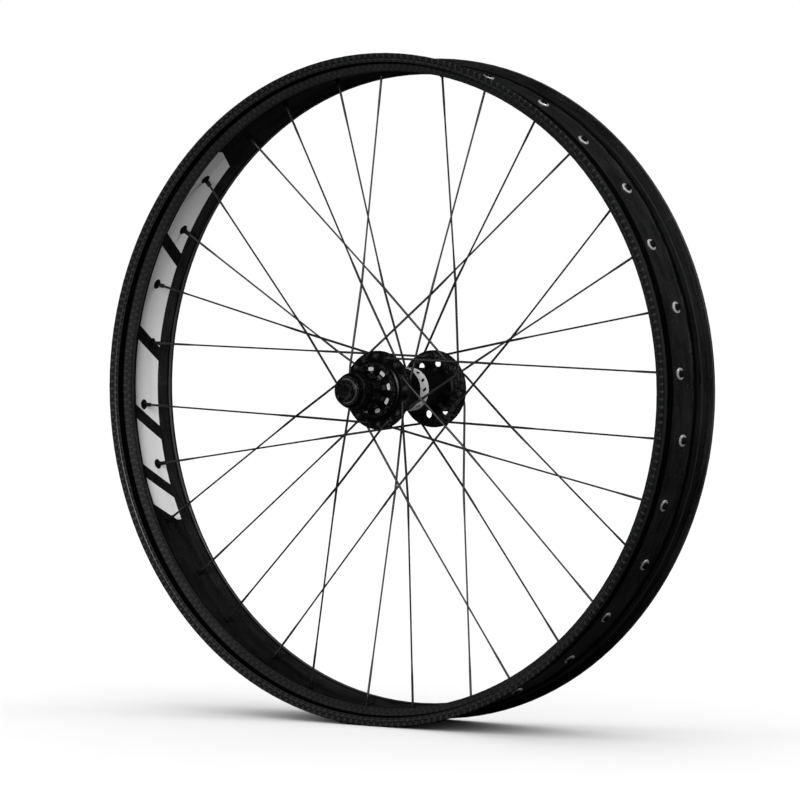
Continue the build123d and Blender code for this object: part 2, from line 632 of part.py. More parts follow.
with BuildPart() as driver_body:
    turn(
        [
            (DRIVER_BORE_RADIUS, DRIVER_INBOARD_END),
            (PAWL_BODY_RADIUS, DRIVER_INBOARD_END),
            (PAWL_BODY_RADIUS, -38.4),
            (SEAL_JOURNAL_RADIUS, -38.6),
            (SEAL_JOURNAL_RADIUS, -42.2),
            (18.6, -42.9),
            (DRIVER_FLANGE_RADIUS - 0.3, -42.9),
            (DRIVER_FLANGE_RADIUS, -43.2),
            (DRIVER_FLANGE_RADIUS, FLANGE_FACE + 0.6),
            (DRIVER_FLANGE_RADIUS - 0.6, FLANGE_FACE),
            (NECK_RADIUS, FLANGE_FACE),
            (NECK_RADIUS, SPLINE_RANGE[1]),
            (SPLINE_RADIUS - 0.5, SPLINE_RANGE[1]),
            (SPLINE_RADIUS, SPLINE_RANGE[1] - 0.5),
            (SPLINE_RADIUS, SPLINE_RANGE[0] + 0.6),
            (SPLINE_RADIUS - 0.6, SPLINE_RANGE[0]),
            (THREAD_BODY_RADIUS - 0.6, SPLINE_RANGE[0]),
            (THREAD_BODY_RADIUS - 0.6, SPLINE_RANGE[0] - 0.7),
            (THREAD_BODY_RADIUS, SPLINE_RANGE[0] - 1.2),
            (THREAD_BODY_RADIUS, TAIL_START + 0.8),
            (THREAD_BODY_RADIUS - 0.8, TAIL_START),
            (TAIL_RADIUS, TAIL_START),
            (TAIL_RADIUS, DRIVER_OUTBOARD_END + 0.5),
            (TAIL_RADIUS - 0.5, DRIVER_OUTBOARD_END),
            (OUTER_SEAT_RADIUS, DRIVER_OUTBOARD_END),
            (OUTER_SEAT_RADIUS, OUTER_SEAT_STOP),
            (9.6, OUTER_SEAT_STOP),
            (9.6, -74.0),
            (10.6, -73.0),
            (10.6, INNER_SEAT_STOP),
            (INNER_SEAT_RADIUS, INNER_SEAT_STOP),
            (INNER_SEAT_RADIUS, CIRCLIP_RANGE[0] - 0.1),
            (CIRCLIP_GROOVE_RADIUS, CIRCLIP_RANGE[0] - 0.1),
            (CIRCLIP_GROOVE_RADIUS, CIRCLIP_RANGE[1] + 0.1),
            (DRIVER_BORE_RADIUS, CIRCLIP_RANGE[1] + 0.1),
        ]
    )
    # Turned grooves of the thread and of the tail.
    for groove_y in THREAD_GROOVES:
        groove_range = (groove_y - THREAD_GROOVE_HALF, groove_y + THREAD_GROOVE_HALF)
        groove_floor = THREAD_BODY_RADIUS - THREAD_GROOVE_DEPTH
        ring(groove_floor, THREAD_BODY_RADIUS + 1, *groove_range, Mode.SUBTRACT)
    for groove_y in TAIL_GROOVES:
        groove_range = (groove_y - TAIL_GROOVE_HALF, groove_y + TAIL_GROOVE_HALF)
        groove_floor = TAIL_RADIUS - TAIL_GROOVE_DEPTH
        ring(groove_floor, TAIL_RADIUS + 1, *groove_range, Mode.SUBTRACT)
    # Splines.
    spline_length = SPLINE_RANGE[1] - SPLINE_RANGE[0]
    spline_middle = sum(SPLINE_RANGE) / 2
    groove_places = [
        turned_to(i * 360 / SPLINE_GROOVES) * Pos(SPLINE_RADIUS, spline_middle, 0)
        for i in range(SPLINE_GROOVES)
    ]
    with Locations(*groove_places):
        Box(2 * SPLINE_GROOVE[0], spline_length + 0.4, SPLINE_GROOVE[1], mode=Mode.SUBTRACT)
    # Shallow milled pockets round the outboard face of the flange.
    with BuildSketch(Plane.XZ.offset(-FLANGE_FACE)):
        with PolarLocations(POCKET_CIRCLE_RADIUS, POCKET_COUNT, start_angle=POCKET_PHASE):
            RectangleRounded(POCKET_SIZE[0], POCKET_SIZE[1], radius=1.4)
    extrude(amount=-POCKET_DEPTH, mode=Mode.SUBTRACT)
    # Pawl pockets: a round socket for each pawl's heel and a clear sweep for its arm.
    pocket_top = PAWL_INNER_Y + PAWL_POCKET_GAP
    with BuildSketch(Plane.XZ.offset(-pocket_top)):
        for pivot in pawl_pivots:
            with BuildLine():
                floor_start = flat_polar(PAWL_POCKET_FLOOR, pivot)
                floor_middle = flat_polar(PAWL_POCKET_FLOOR, pivot + PAWL_POCKET_END / 2)
                floor_end = flat_polar(PAWL_POCKET_FLOOR, pivot + PAWL_POCKET_END)
                ThreePointArc(floor_start, floor_middle, floor_end)
                Polyline(
                    floor_end,
                    flat_polar(SPLINE_RADIUS, pivot + PAWL_POCKET_END),
                    flat_polar(SPLINE_RADIUS, pivot),
                    floor_start,
                )
            make_face()
        with PolarLocations(PAWL_PIVOT_RADIUS, PAWL_COUNT, start_angle=PAWL_PIVOT_ANGLE):
            Circle(PAWL_PIN_RADIUS + 0.05)
    extrude(amount=PAWL_WIDTH + 2 * PAWL_POCKET_GAP, mode=Mode.SUBTRACT)
save(driver_body, "driver_body")


# ======================================================================
# Pawls, each a separate moving piece, and their leaf springs
# ======================================================================
def pawl_point(pivot, radius, angle):
    """Point of a pawl's outline, with the angle measured from its pivot."""
    return flat_polar(radius, pivot + angle)


for number, pivot in enumerate(pawl_pivots, start=1):
    with BuildPart() as pawl:
        with BuildSketch(Plane.XZ.offset(-PAWL_INNER_Y)):
            with BuildLine():
                Polyline(
                    pawl_point(pivot, PAWL_PIVOT_RADIUS + PAWL_PIN_RADIUS, 0),
                    pawl_point(pivot, 16.25, -8.0),
                    pawl_point(pivot, 16.55, -16.5),
                    pawl_point(pivot, 17.5, -25.5),
                    pawl_point(pivot, 16.3, -25.5),
                    pawl_point(pivot, 13.55, -3.0),
                    pawl_point(pivot, PAWL_PIVOT_RADIUS, 0),
                    close=True,
                )
            make_face()
            with Locations(pawl_point(pivot, PAWL_PIVOT_RADIUS, 0)):
                Circle(PAWL_PIN_RADIUS)
        extrude(amount=PAWL_WIDTH)
    save(pawl, f"pawl_{number}")

LEAF_THICKNESS = 0.25
LEAF_WIDTH = 3.6

with BuildPart() as pawl_springs:
    leaf_top = PAWL_INNER_Y - (PAWL_WIDTH - LEAF_WIDTH) / 2
    with BuildSketch(Plane.XZ.offset(-leaf_top)):
        for pivot in pawl_pivots:
            with BuildLine():
                Polyline(
                    pawl_point(pivot, 13.35, -20.0),
                    pawl_point(pivot, 13.35 + LEAF_THICKNESS, -20.0),
                    pawl_point(pivot, 15.1, -31.0),
                    pawl_point(pivot, 15.1, -33.6),
                    pawl_point(pivot, 15.1 - LEAF_THICKNESS, -33.6),
                    pawl_point(pivot, 15.1 - LEAF_THICKNESS, -31.4),
                    close=True,
                )
            make_face()
    extrude(amount=LEAF_WIDTH)
save(pawl_springs, "pawl_springs")

with BuildPart() as driver_circlip:
    ring(11.3, CIRCLIP_GROOVE_RADIUS - 0.15, *CIRCLIP_RANGE)
    with Locations(turned_to(PAWL_PIVOT_ANGLE) * Pos(12.0, sum(CIRCLIP_RANGE) / 2, 0)):
        Box(4, 3, 5, mode=Mode.SUBTRACT)
save(driver_circlip, "driver_circlip")

with BuildPart() as driver_seal:
    turn(
        [
            (SEAL_JOURNAL_RADIUS + 0.05, SEAL_RANGE[0]),
            (SEAL_JOURNAL_RADIUS + 0.7, SEAL_RANGE[0]),
            (SEAL_JOURNAL_RADIUS + 1.0, SEAL_RANGE[0] + 1.2),
            (19.2, SEAL_RANGE[0] + 1.2),
            (19.2, SEAL_RANGE[0]),
            (RATCHET_SEAT_RADIUS - FIT_GAP, SEAL_RANGE[0]),
            (RATCHET_SEAT_RADIUS - FIT_GAP, SEAL_RANGE[1]),
            (18.2, SEAL_RANGE[1]),
            (SEAL_JOURNAL_RADIUS + 0.05, SEAL_RANGE[0] + 0.8),
        ]
    )
save(driver_seal, "driver_seal")


# ======================================================================
# Axle, its spacers and its end caps
# ======================================================================
AXLE_END_Y = 83.9
CAP_LIP = CAP_FACE_Y - AXLE_END_Y - 0.05
CAP_RADIUS = 9.5
CAP_CHAMFER = 0.85
CAP_SHIELD_RADIUS = LOCK_THREAD_RADIUS - 0.4
SLEEVE_RADIUS = AXLE_RADIUS + 0.03
O_RING_Y = 82.3
O_RING_RADIUS = 0.4
O_RING_GROOVE_RADIUS = 8.45
O_RING_GROOVE_HALF = 0.55
AXLE_SHOULDER_RADIUS = 9.8
DRIVE_BEARING_RANGE = (-26.0, -19.0)
BRAKE_BEARING_RANGE = (62.02, 69.02)
INNER_DRIVER_BEARING_RANGE = (-50.0, -45.0)
OUTER_DRIVER_BEARING_RANGE = (-80.4, -76.4)

with BuildPart() as axle_tube:
    turn(
        [
            (AXLE_BORE_RADIUS, -AXLE_END_Y),
            (AXLE_RADIUS - 0.3, -AXLE_END_Y),
            (AXLE_RADIUS, -AXLE_END_Y + 0.3),
            (AXLE_RADIUS, -25.9),
            (AXLE_SEAT_RADIUS, -25.9),
            (AXLE_SEAT_RADIUS, DRIVE_BEARING_RANGE[1] + FIT_GAP),
            (AXLE_SHOULDER_RADIUS, DRIVE_BEARING_RANGE[1] + FIT_GAP),
            (AXLE_SHOULDER_RADIUS, -15.0),
            (AXLE_SEAT_RADIUS, -12.0),
            (AXLE_SEAT_RADIUS, 55.0),
            (AXLE_SHOULDER_RADIUS, 58.0),
            (AXLE_SHOULDER_RADIUS, BRAKE_BEARING_RANGE[0] - FIT_GAP),
            (AXLE_SEAT_RADIUS, BRAKE_BEARING_RANGE[0] - FIT_GAP),
            (AXLE_SEAT_RADIUS, 68.9),
            (AXLE_RADIUS, 68.9),
            (AXLE_RADIUS, AXLE_END_Y - 0.3),
            (AXLE_RADIUS - 0.3, AXLE_END_Y),
            (AXLE_BORE_RADIUS, AXLE_END_Y),
        ]
    )
save(axle_tube, "axle_tube")

with BuildPart() as inboard_driver_spacer:
    ring(
        AXLE_RADIUS + FIT_GAP,
        9.2,
        INNER_DRIVER_BEARING_RANGE[1] + FIT_GAP,
        DRIVE_BEARING_RANGE[0] - FIT_GAP,
    )
save(inboard_driver_spacer, "inboard_driver_spacer")

with BuildPart() as outboard_driver_spacer:
    ring(
        AXLE_RADIUS + FIT_GAP,
        8.7,
        OUTER_DRIVER_BEARING_RANGE[1] + FIT_GAP,
        INNER_DRIVER_BEARING_RANGE[0] - FIT_GAP,
    )
save(outboard_driver_spacer, "outboard_driver_spacer")

with BuildPart() as drive_end_cap:
    turn(
        [
            (AXLE_BORE_RADIUS, -CAP_FACE_Y),
            (CAP_RADIUS - CAP_CHAMFER, -CAP_FACE_Y),
            (CAP_RADIUS, -CAP_FACE_Y + CAP_CHAMFER),
            (CAP_RADIUS, -81.4),
            (8.8, -81.0),
            (8.8, OUTER_DRIVER_BEARING_RANGE[0] - FIT_GAP),
            (SLEEVE_RADIUS, OUTER_DRIVER_BEARING_RANGE[0] - FIT_GAP),
            (SLEEVE_RADIUS, -CAP_FACE_Y + CAP_LIP),
            (AXLE_BORE_RADIUS, -CAP_FACE_Y + CAP_LIP),
        ]
    )
    groove_range = (-O_RING_Y - O_RING_GROOVE_HALF, -O_RING_Y + O_RING_GROOVE_HALF)
    ring(AXLE_RADIUS - 0.5, O_RING_GROOVE_RADIUS, *groove_range, Mode.SUBTRACT)
save(drive_end_cap, "drive_end_cap")

with BuildPart() as brake_end_cap:
    turn(
        [
            (SLEEVE_RADIUS, BRAKE_BEARING_RANGE[1] + FIT_GAP),
            (10.2, BRAKE_BEARING_RANGE[1] + FIT_GAP),
            (10.2, 70.1),
            (CAP_SHIELD_RADIUS, 70.1),
            (CAP_SHIELD_RADIUS, 71.5),
            (11.4, 72.2),
            (CAP_RADIUS, 75.0),
            (CAP_RADIUS, CAP_FACE_Y - CAP_CHAMFER),
            (CAP_RADIUS - CAP_CHAMFER, CAP_FACE_Y),
            (AXLE_BORE_RADIUS, CAP_FACE_Y),
            (AXLE_BORE_RADIUS, CAP_FACE_Y - CAP_LIP),
            (SLEEVE_RADIUS, CAP_FACE_Y - CAP_LIP),
        ]
    )
    groove_range = (O_RING_Y - O_RING_GROOVE_HALF, O_RING_Y + O_RING_GROOVE_HALF)
    ring(AXLE_RADIUS - 0.5, O_RING_GROOVE_RADIUS, *groove_range, Mode.SUBTRACT)
save(brake_end_cap, "brake_end_cap")

with BuildPart() as end_cap_o_rings:
    o_ring_centre = AXLE_RADIUS + O_RING_RADIUS + 0.03
    with BuildSketch(Plane.XY):
        with Locations((o_ring_centre, O_RING_Y), (o_ring_centre, -O_RING_Y)):
            Circle(O_RING_RADIUS)
    revolve(axis=Axis.Y)
save(end_cap_o_rings, "end_cap_o_rings")


# ======================================================================
# Cartridge bearings: races, balls, a crown cage and two seals each
# ======================================================================
RUNNING_GAP = 0.02
SEAL_THICKNESS = 0.4


def ball_bearing(name, bore, outer, y_range, ball_radius, ball_count):
    """Write the five pieces of one bearing. bore and outer are radii."""
    middle = sum(y_range) / 2
    half_width = (y_range[1] - y_range[0]) / 2
    pitch = (bore + outer) / 2
    inner_land = pitch - 0.42 * ball_radius * 2
    outer_land = pitch + 0.42 * ball_radius * 2

    with BuildPart() as groove_cutter:
        with BuildSketch(Plane.XY):
            with Locations((pitch, middle)):
                Circle(ball_radius + RUNNING_GAP)
        revolve(axis=Axis.Y)

    with BuildPart() as inner_race:
        ring(bore + FIT_GAP, inner_land, *y_range)
        add(groove_cutter.part, mode=Mode.SUBTRACT)
    save(inner_race, f"{name}_inner_race")

    with BuildPart() as outer_race:
        ring(outer_land, outer - FIT_GAP, *y_range)
        add(groove_cutter.part, mode=Mode.SUBTRACT)
    save(outer_race, f"{name}_outer_race")

    ball_step = 360 / ball_count
    ball_places = [turned_to(i * ball_step) * Pos(pitch, middle, 0) for i in range(ball_count)]
    with BuildPart() as balls:
        with Locations(*ball_places):
            Sphere(ball_radius)
    save(balls, f"{name}_balls")

    # The crown cage has a closed ring on one side and fingers between the balls.
    cage_half = 0.45 * ball_radius
    cage_range = (middle - 1.35 * ball_radius, middle + 0.5 * ball_radius)
    with BuildPart() as cage:
        ring(pitch - cage_half, pitch + cage_half, *cage_range)
        with Locations(*[place * Rot(0, 90, 0) for place in ball_places]):
            Cylinder(ball_radius + RUNNING_GAP, 4 * cage_half, mode=Mode.SUBTRACT)
    save(cage, f"{name}_cage")

    with BuildPart() as seals:
        for side in (-1, 1):
            seal_middle = middle + side * (half_width - 0.05 - SEAL_THICKNESS / 2)
            ring(
                inner_land + 0.05,
                outer_land - FIT_GAP,
                seal_middle - SEAL_THICKNESS / 2,
                seal_middle + SEAL_THICKNESS / 2,
            )
    save(seals, f"{name}_seals")


hub_seats = (AXLE_SEAT_RADIUS, BEARING_SEAT_RADIUS)
inner_seats = (AXLE_RADIUS, INNER_SEAT_RADIUS)
outer_seats = (AXLE_RADIUS, OUTER_SEAT_RADIUS)
ball_bearing("drive_hub_bearing", *hub_seats, DRIVE_BEARING_RANGE, 1.9, 14)
ball_bearing("brake_hub_bearing", *hub_seats, BRAKE_BEARING_RANGE, 1.9, 14)
ball_bearing("inner_driver_bearing", *inner_seats, INNER_DRIVER_BEARING_RANGE, 1.3, 16)
ball_bearing("outer_driver_bearing", *outer_seats, OUTER_DRIVER_BEARING_RANGE, 0.85, 22)
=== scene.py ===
"""Looks of the spoked wheel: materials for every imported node, the studio and the camera.

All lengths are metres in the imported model's frame: Y is the axle, Z is up, and angles
round the axle go from +X towards +Z.
"""

import json
import math

import bpy
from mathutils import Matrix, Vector


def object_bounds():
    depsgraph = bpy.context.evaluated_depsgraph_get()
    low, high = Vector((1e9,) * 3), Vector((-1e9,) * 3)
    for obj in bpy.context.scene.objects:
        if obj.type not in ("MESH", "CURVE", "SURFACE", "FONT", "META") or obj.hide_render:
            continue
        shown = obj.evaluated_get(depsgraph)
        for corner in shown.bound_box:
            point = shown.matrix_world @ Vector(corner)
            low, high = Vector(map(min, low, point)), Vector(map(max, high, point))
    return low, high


MM = 0.001

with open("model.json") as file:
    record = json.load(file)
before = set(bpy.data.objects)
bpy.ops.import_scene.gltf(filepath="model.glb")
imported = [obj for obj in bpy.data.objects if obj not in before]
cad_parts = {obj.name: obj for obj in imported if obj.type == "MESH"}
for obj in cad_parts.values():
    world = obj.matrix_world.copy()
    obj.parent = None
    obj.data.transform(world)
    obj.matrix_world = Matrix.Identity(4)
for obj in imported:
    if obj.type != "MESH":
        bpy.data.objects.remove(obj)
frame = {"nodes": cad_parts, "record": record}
cad_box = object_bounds()
nodes = frame["nodes"]


# ======================================================================
# A small formula writer for shader nodes
# ======================================================================
FLAT_POINTINESS = 0.52
EDGE_POINTINESS = 0.62
BEVEL_SAMPLES = 4


class Value:
    """One output socket that can be used in arithmetic."""

    def __init__(self, sheet, socket):
        self.sheet = sheet
        self.socket = socket

    def __add__(self, other):
        return self.sheet.math("ADD", self, other)

    def __radd__(self, other):
        return self.sheet.math("ADD", other, self)

    def __sub__(self, other):
        return self.sheet.math("SUBTRACT", self, other)

    def __rsub__(self, other):
        return self.sheet.math("SUBTRACT", other, self)

    def __mul__(self, other):
        return self.sheet.math("MULTIPLY", self, other)

    def __rmul__(self, other):
        return self.sheet.math("MULTIPLY", other, self)

    def __truediv__(self, other):
        return self.sheet.math("DIVIDE", self, other)


class Sheet:
    """A material's node tree, written as formulas."""

    def __init__(self, name):
        self.material = bpy.data.materials.new(name)
        self.material.use_nodes = True
        self.tree = self.material.node_tree
        self.tree.nodes.clear()
        coordinates = self.node("ShaderNodeTexCoord")
        self.place = Value(self, coordinates.outputs["Object"])
        axes = self.node("ShaderNodeSeparateXYZ")
        self.feed(self.place, axes.inputs[0])
        self.x = Value(self, axes.outputs[0])
        self.y = Value(self, axes.outputs[1])
        self.z = Value(self, axes.outputs[2])
        self.radius = self.math("SQRT", self.x * self.x + self.z * self.z)
        self.turn = self.math("ARCTAN2", self.z, self.x)

    def node(self, kind):
        return self.tree.nodes.new(kind)

    def feed(self, value, socket):
        """Connect a value to an input, or write a plain number or colour into it."""
        if isinstance(value, Value):
            self.tree.links.new(value.socket, socket)
        else:
            socket.default_value = value

    def math(self, operation, *values):
        node = self.node("ShaderNodeMath")
        node.operation = operation
        for value, socket in zip(values, node.inputs):
            self.feed(value, socket)
        return Value(self, node.outputs[0])

    def clamp(self, value):
        node = self.node("ShaderNodeClamp")
        self.feed(value, node.inputs[0])
        return Value(self, node.outputs[0])

    def step(self, value, low, high):
        """0 below low, 1 above high and smooth between them."""
        node = self.node("ShaderNodeMapRange")
        node.interpolation_type = "SMOOTHSTEP"
        self.feed(value, node.inputs[0])
        self.feed(low, node.inputs[1])
        self.feed(high, node.inputs[2])
        return Value(self, node.outputs[0])

    def past(self, value, edge, soft):
        """0 before an edge and 1 past it, changing within soft of the edge."""
        return self.step(value, edge - soft, edge + soft)

    def between(self, value, start, end, soft):
        """1 between two edges and 0 outside them."""
        return self.past(value, start, soft) * (1.0 - self.past(value, end, soft))

    def mix(self, share, low, high):
        """low where share is 0 and high where it is 1, for plain numbers."""
        return low + share * (high - low)

    def blend(self, share, low, high):
        """The same for colours."""
        node = self.node("ShaderNodeMix")
        node.data_type = "RGBA"
        self.feed(share, node.inputs[0])
        self.feed(low, node.inputs[6])
        self.feed(high, node.inputs[7])
        return Value(self, node.outputs[2])

    def stretch(self, x=1.0, y=1.0, z=1.0):
        """The object's own coordinates, scaled on each axis."""
        node = self.node("ShaderNodeVectorMath")
        node.operation = "MULTIPLY"
        self.feed(self.place, node.inputs[0])
        node.inputs[1].default_value = (x, y, z)
        return Value(self, node.outputs[0])

    def point(self, x, y, z):
        node = self.node("ShaderNodeCombineXYZ")
        for value, socket in zip((x, y, z), node.inputs):
            self.feed(value, socket)
        return Value(self, node.outputs[0])

    def noise(self, size, place=None, detail=3.0):
        """Soft noise from 0 to 1 with lumps of about this size."""
        node = self.node("ShaderNodeTexNoise")
        node.inputs["Scale"].default_value = 1.0 / size
        node.inputs["Detail"].default_value = detail
        self.feed(place or self.place, node.inputs["Vector"])
        return Value(self, node.outputs["Fac"])

    def edges(self):
        """1 on sharp outer edges and 0 on flat or hollow places."""
        node = self.node("ShaderNodeNewGeometry")
        return self.step(Value(self, node.outputs["Pointiness"]), FLAT_POINTINESS, EDGE_POINTINESS)

    def finish(self, color, roughness, height, metallic=0.0, broken_edge=0.0, **extra):
        """Close the tree with a principled surface. height and broken_edge are in metres."""
        surface = self.node("ShaderNodeBsdfPrincipled")
        self.feed(color, surface.inputs["Base Color"])
        self.feed(roughness, surface.inputs["Roughness"])
        self.feed(metallic, surface.inputs["Metallic"])
        for name, value in extra.items():
            self.feed(value, surface.inputs[name.replace("_", " ")])
        bump = self.node("ShaderNodeBump")
        bump.inputs["Strength"].default_value = 1.0
        bump.inputs["Distance"].default_value = 1.0
        self.feed(height, bump.inputs["Height"])
        if broken_edge:
            bevel = self.node("ShaderNodeBevel")
            bevel.samples = BEVEL_SAMPLES
            bevel.inputs["Radius"].default_value = broken_edge
            self.tree.links.new(bevel.outputs[0], bump.inputs["Normal"])
        self.tree.links.new(bump.outputs[0], surface.inputs["Normal"])
        output = self.node("ShaderNodeOutputMaterial")
        self.tree.links.new(surface.outputs[0], output.inputs[0])
        return self.material


def grey(level, tint=0.0):
    """An RGBA grey, a little blue for a positive tint and warm for a negative one."""
    return (level * (1 - tint), level, level * (1 + tint), 1.0)


BARE_METAL = grey(0.3)


# ======================================================================
# Materials
# ======================================================================
# Weights without a unit in these formulas are shares of a pattern.
EDGE_BREAK = 0.22 * MM
BLACK_SHINE = 0.08
SHELL_SHINE = 0.12
BARE_SHINE = 0.5

# The rim's cloth: how many tows go round it, and how light it is between black and CARBON_LIGHT.
RIM_RADIUS = 280 * MM
TOWS_ROUND = 568
TOW = 2 * math.pi * RIM_RADIUS / TOWS_ROUND
CLOTH_TONE = 0.42
CARBON_BLACK = 0.0006
CARBON_LIGHT = 0.05

# Places on the rim's section: radii, then distances from its centre plane.
TYRE_SIDE_RADIUS = 278.1 * MM
LIP_FOOT_RADIUS = 279.2 * MM
BED_EDGE_Y = 16.6 * MM
# How far the painted shade reaches on the brake side, and where the painted dark line before the
# crest lies.
THIN_SHADE_Y = BED_EDGE_Y + 3.75 * MM
DARK_LINE_Y = (24.4 * MM, 25.4 * MM)
CREST_Y = 25.6 * MM
SHOULDER_END_Y = 27.4 * MM
RIDGE_Y = 27.6 * MM
SEAT_EDGE_Y = 31.1 * MM
RIDGE_FOOT_Y = 32.9 * MM
SIDEWALL_Y = 39.2 * MM
LIP_INNER_Y = 40.6 * MM


def woven_tows(s, y_size):
    """Plain weave: 1 where the warp is on top, each tow's crown and the threads in it."""
    outside = s.past(y_size, RIDGE_Y, 0.1 * MM)
    across = (s.radius + s.mix(outside, -1.0, 1.0) * y_size) * 0.5 / TOW
    along = s.turn * (TOWS_ROUND / (2 * math.pi))
    # The tows wander a little, as laid cloth does.
    along = along + (s.noise(30 * MM) - 0.5) * 1.4
    across = across + (s.noise(22 * MM, s.stretch(1, 1.3, 1)) - 0.5) * 1.2
    square = s.math("FLOOR", along) + s.math("FLOOR", across)
    warp_on_top = s.math("LESS_THAN", s.math("FLOORED_MODULO", square, 2.0), 0.5)
    crown_along = 1.0 - s.math("ABSOLUTE", s.math("FRACT", along) - 0.5) * 2
    crown_across = 1.0 - s.math("ABSOLUTE", s.math("FRACT", across) - 0.5) * 2
    crown = s.mix(warp_on_top, crown_across, crown_along)
    crown = s.math("POWER", s.clamp(crown), 0.5)
    # Filaments inside each tow run along it.
    threads_warp = s.noise(0.5 * MM, s.point(along * TOW, across * TOW * 0.05, 0.0))
    threads_weft = s.noise(0.5 * MM, s.point(along * TOW * 0.05, across * TOW, 0.0))
    return warp_on_top, crown, s.mix(warp_on_top, threads_weft, threads_warp)


def rim_zones(s, y_size):
    """How far each point is on the tyre's side, on the ridge's flank, under painted shade,
    under a painted highlight line, and covered by cloth."""
    tyre_side = s.past(s.radius, TYRE_SIDE_RADIUS, 0.1 * MM)
    inside_lip = s.past(s.radius, LIP_FOOT_RADIUS, 0.4 * MM)
    from_wall = y_size - s.mix(inside_lip, SIDEWALL_Y, LIP_INNER_Y)
    sidewall = s.past(from_wall, 0.0, 0.2 * MM)
    past_ridge = s.past(y_size, RIDGE_Y + 0.4 * MM, 0.4 * MM)
    past_foot = s.past(y_size, RIDGE_FOOT_Y, 0.4 * MM)
    hub_side = 1.0 - tyre_side
    flank = past_ridge * (1.0 - past_foot) * hub_side
    # Painted shade, nearly black: the step beside each sidewall and the tyre's shoulders.
    shade_edge_y = y_size + (s.noise(16 * MM) - 0.5) * (3.0 * MM)
    off_bed = s.past(shade_edge_y, BED_EDGE_Y, 0.5 * MM)
    past_shoulder = s.past(y_size, SHOULDER_END_Y, 0.6 * MM)
    # The painted shade is narrower and lighter on the brake side, whose shoulder faces the key
    # light.
    brake_side_lighter = s.past(s.y, 0.0, 1.0 * MM) * s.past(shade_edge_y, THIN_SHADE_Y, 0.75 * MM)
    painted_shoulder_shade = off_bed * (1.0 - past_shoulder * 0.6) * (1.0 - brake_side_lighter * 0.5)
    # A painted dark line just before the ridge's crest.
    painted_dark_line = s.between(y_size, *DARK_LINE_Y, 0.2 * MM)
    painted_shade = s.mix(tyre_side, s.clamp(past_foot + painted_dark_line), painted_shoulder_shade) * (1.0 - sidewall)
    # Painted highlight lines, lighter and glossier: the ridge's crest, the sidewall's lower edge
    # and the edge of the bead seat.
    crest = s.past(y_size, CREST_Y, 0.2 * MM) * (1.0 - past_ridge) * hub_side
    wall_edge = s.step(from_wall, -0.3 * MM, 0.0) * (1.0 - s.past(from_wall, 0.5 * MM, 0.2 * MM))
    seat_edge = past_shoulder * (1.0 - s.past(y_size, SEAT_EDGE_Y, 0.5 * MM)) * tyre_side
    painted_highlight = s.clamp(crest * 1.3 + wall_edge + seat_edge * 0.6)
    cloth = s.clamp(sidewall + flank * 0.5) * (1.0 - wall_edge * 0.7)
    return tyre_side, flank, painted_shade, painted_highlight, cloth


def woven_carbon():
    """Satin carbon: coarse cloth on sidewalls and ridge flanks, smooth moulded layers between."""
    s = Sheet("woven_carbon")
    y_size = s.math("ABSOLUTE", s.y)
    warp_on_top, crown, threads = woven_tows(s, y_size)
    tyre_side, flank, painted_shade, painted_highlight, cloth = rim_zones(s, y_size)

    layers = s.noise(1.2 * MM, s.point(s.turn * 0.02, s.y, s.radius))
    ribs = s.noise(1.6 * MM, s.point(s.turn * RIM_RADIUS, s.y * 0.1, 0.0))
    patches = s.noise(55 * MM)
    flow = s.noise(9 * MM, s.point(s.turn * 0.06, s.y, s.radius))
    fleck = s.step(s.noise(2.2 * MM), 0.6, 0.72)

    lit_tow = s.mix(warp_on_top, 0.5, 1.15) * (0.4 + threads * 0.6 + fleck * 0.3 + patches * 0.3)
    # Each tow's crown is painted lighter than its sides: the weave's pattern with painted sheen
    # and painted shade over it.
    woven_tone = (lit_tow * crown + ribs * flank * 0.5) * CLOTH_TONE
    mottle = layers * 0.5 + flow * 0.4 + fleck * 0.35 + patches * 0.3 - 0.38
    # The painted shade darkens the smooth carbon and the painted highlight lines lighten it.
    smooth_tone = s.clamp(mottle * 1.6) * (1.0 - painted_shade * 0.92)
    smooth_tone = smooth_tone * s.mix(tyre_side, 0.4, 0.5) + painted_highlight * 0.35
    tone = s.mix(cloth, smooth_tone, woven_tone)
    color = s.blend(tone, grey(CARBON_BLACK), grey(CARBON_LIGHT, 0.02))

    rough = s.mix(cloth, 0.42 + layers * 0.14, 0.42 + threads * 0.16)
    rough = s.mix(painted_highlight, rough + patches * 0.1, 0.3)
    cloth_shine = s.mix(warp_on_top, 0.05, 0.13) * crown + ribs * flank * 0.08
    smooth_shine = s.clamp(mottle) * s.mix(tyre_side, 0.16, 0.2) + painted_highlight * 0.3
    shine = s.mix(cloth, smooth_shine, cloth_shine) * (1.0 - painted_shade * 0.9)

    resin = s.noise(0.35 * MM, detail=2.0)
    weave_height = crown * (0.16 * MM) + threads * (0.02 * MM)
    layer_height = layers * (0.02 * MM) + flow * (0.08 * MM) + ribs * flank * (0.05 * MM)
    height = s.mix(cloth, layer_height, weave_height) + resin * (0.004 * MM)
    return s.finish(color, rough, height, Specular_IOR_Level=shine)


def graphic_film():
    """Light satin film with faint mottling and a slightly scuffed face."""
    s = Sheet("graphic_film")
    cloud = s.noise(24 * MM)
    speck = s.noise(0.9 * MM)
    scuff = s.step(s.noise(3.5 * MM, s.stretch(1, 6, 1)), 0.6, 0.72)
    tone = s.clamp(cloud * 0.6 + speck * 0.35)
    color = s.blend(tone, grey(0.8), grey(0.93))
    color = s.blend(scuff * 0.15, color, grey(0.5))
    rough = 0.42 + speck * 0.15 + scuff * 0.15
    return s.finish(color, rough, speck * (0.006 * MM) + scuff * (0.004 * MM))


# The spokes' heads lie nearer the axle than this, and everything else on them farther out.
HEAD_RADIUS = 31.0 * MM


